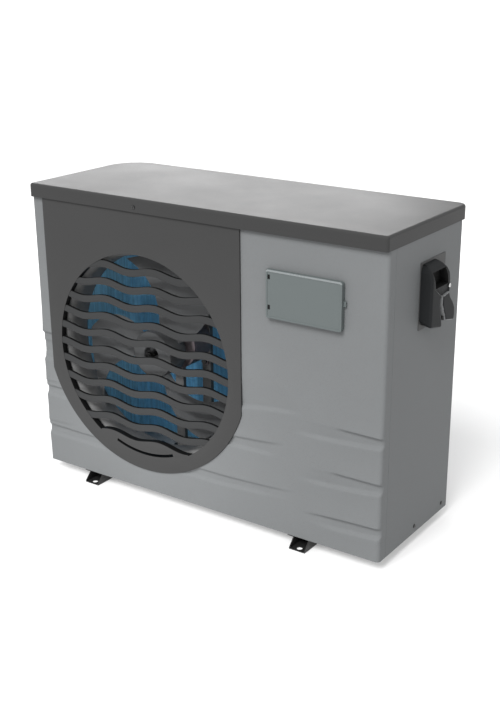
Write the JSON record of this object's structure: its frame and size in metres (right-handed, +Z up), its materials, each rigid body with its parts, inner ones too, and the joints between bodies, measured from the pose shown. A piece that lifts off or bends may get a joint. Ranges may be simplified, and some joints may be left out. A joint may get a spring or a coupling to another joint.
{
  "type": "pool heat pump unit",
  "caption": "Side-discharge pool heat pump: moulded casing with wavy fan grille, flip-door controller, cable hood, rear water unions and channel feet.",
  "frame": {"origin": "on the floor plane, at the centre of the four foot-bolt holes", "axes": "+Z up; -Y to the front with the fan grille and the controller; +X to the compressor end, along the unit's length"},
  "size_m": [1.0348, 0.439, 0.773],
  "materials": {
    "panel_grey": "fine-textured UV-stable moulding, mid grey",
    "grille_grey": "fine-textured moulding, dark grey",
    "lid_grey": "satin moulding, dark grey",
    "door_grey": "satin moulding, green grey",
    "hood_black": "textured black moulding",
    "pan_steel": "powder-coated galvanised steel",
    "foot_black": "black powder-coated steel",
    "guard_wire": "plastic-dipped steel wire",
    "zinc_steel": "galvanised sheet",
    "fastener": "zinc-plated steel",
    "bright_fastener": "stainless steel",
    "fan_black": "glass-filled black moulding",
    "motor_grey": "dark enamel",
    "copper": "drawn copper, brazed joints",
    "laminations": "stacked laminations",
    "blue_fins": "blue hydrophilic coating",
    "black_enamel": "black enamel",
    "valve_brass": "machined brass",
    "rubber": "moulded rubber",
    "pvc_grey": "grey pressure-pipe PVC",
    "pvc_white": "white PVC",
    "board_green": "solder resist",
    "part_black": "moulded component bodies",
    "terminal_white": "polyamide",
    "bezel_black": "moulded bezel",
    "key_rubber": "silicone keys",
    "lens_dark": "smoked display window"
  },
  "bodies": {
    "casing": {"base_pan": "pan_steel", "foot_left": "foot_black", "foot_right": "foot_black", "hex_bolts": "fastener", "drain_nipple": "hood_black", "front_panel": "panel_grey", "fan_panel": "grille_grey", "right_panel": "panel_grey", "rear_panel": "panel_grey", "rear_guard": "guard_wire", "side_guard": "guard_wire", "lid": "lid_grey", "casing_screws": "fastener", "fan_shroud": "zinc_steel", "motor_housing": "motor_grey", "motor_bearings": "bright_fastener", "motor_stator": "laminations", "motor_bracket": "zinc_steel", "evaporator_fins": "blue_fins", "coil_end_plates": "zinc_steel", "return_bends": "copper", "partition_plate": "zinc_steel", "compressor": "black_enamel", "compressor_grommets": "rubber", "accumulator": "black_enamel", "four_way_valve": "valve_brass", "expansion_valve": "valve_brass", "discharge_pipe": "copper", "suction_pipe": "copper", "gas_pipes": "copper", "liquid_pipes": "copper", "exchanger_shell": "pvc_grey", "water_tails": "pvc_white", "union_seals": "rubber", "union_ends": "pvc_white", "union_nuts": "pvc_grey", "flow_switch": "part_black", "electrical_box": "zinc_steel", "circuit_board": "board_green", "board_parts": "part_black", "terminal_block": "terminal_white", "cable_plate": "hood_black", "cable_hood": "hood_black", "cable_grommets": "rubber", "hood_screw": "bright_fastener", "controller_body": "bezel_black", "controller_board": "board_green", "display_lens": "lens_dark"},
    "fan": {"fan_impeller": "fan_black", "fan_shaft": "fastener", "fan_nut": "fastener", "motor_rotor": "laminations"},
    "door": {"controller_door": "door_grey", "hinge_pins": "bright_fastener"},
    "flow_paddle": {"flow_paddle": "bright_fastener"},
    "key_power": {"key_power": "key_rubber"},
    "key_mode": {"key_mode": "key_rubber"},
    "key_up": {"key_up": "key_rubber"},
    "key_down": {"key_down": "key_rubber"},
    "key_set": {"key_set": "key_rubber"}
  },
  "joints": [
    {"name": "fan_spin", "type": "hinge", "parent": "casing", "child": "fan", "pos_m": [-0.144, 0, 0.3755], "axis": [0, 1, 0], "continuous": true},
    {"name": "door_hinge", "type": "hinge", "parent": "casing", "child": "door", "pos_m": [0.23, -0.1845, 0.607], "axis": [0, 0, -1], "range_deg": [0, 120]},
    {"name": "paddle_swing", "type": "hinge", "parent": "casing", "child": "flow_paddle", "pos_m": [0.435, 0.152, 0.157], "axis": [-1, 0, 0], "range_deg": [0, 18], "stiffness_Nm_per_rad": 0.02},
    {"name": "key_power_press", "type": "slide", "parent": "casing", "child": "key_power", "axis": [0, 1, 0], "range_m": [0, 0.001], "stiffness_N_per_m": 600},
    {"name": "key_mode_press", "type": "slide", "parent": "casing", "child": "key_mode", "axis": [0, 1, 0], "range_m": [0, 0.001], "stiffness_N_per_m": 600},
    {"name": "key_up_press", "type": "slide", "parent": "casing", "child": "key_up", "axis": [0, 1, 0], "range_m": [0, 0.001], "stiffness_N_per_m": 600},
    {"name": "key_down_press", "type": "slide", "parent": "casing", "child": "key_down", "axis": [0, 1, 0], "range_m": [0, 0.001], "stiffness_N_per_m": 600},
    {"name": "key_set_press", "type": "slide", "parent": "casing", "child": "key_set", "axis": [0, 1, 0], "range_m": [0, 0.001], "stiffness_N_per_m": 600}
  ]
}
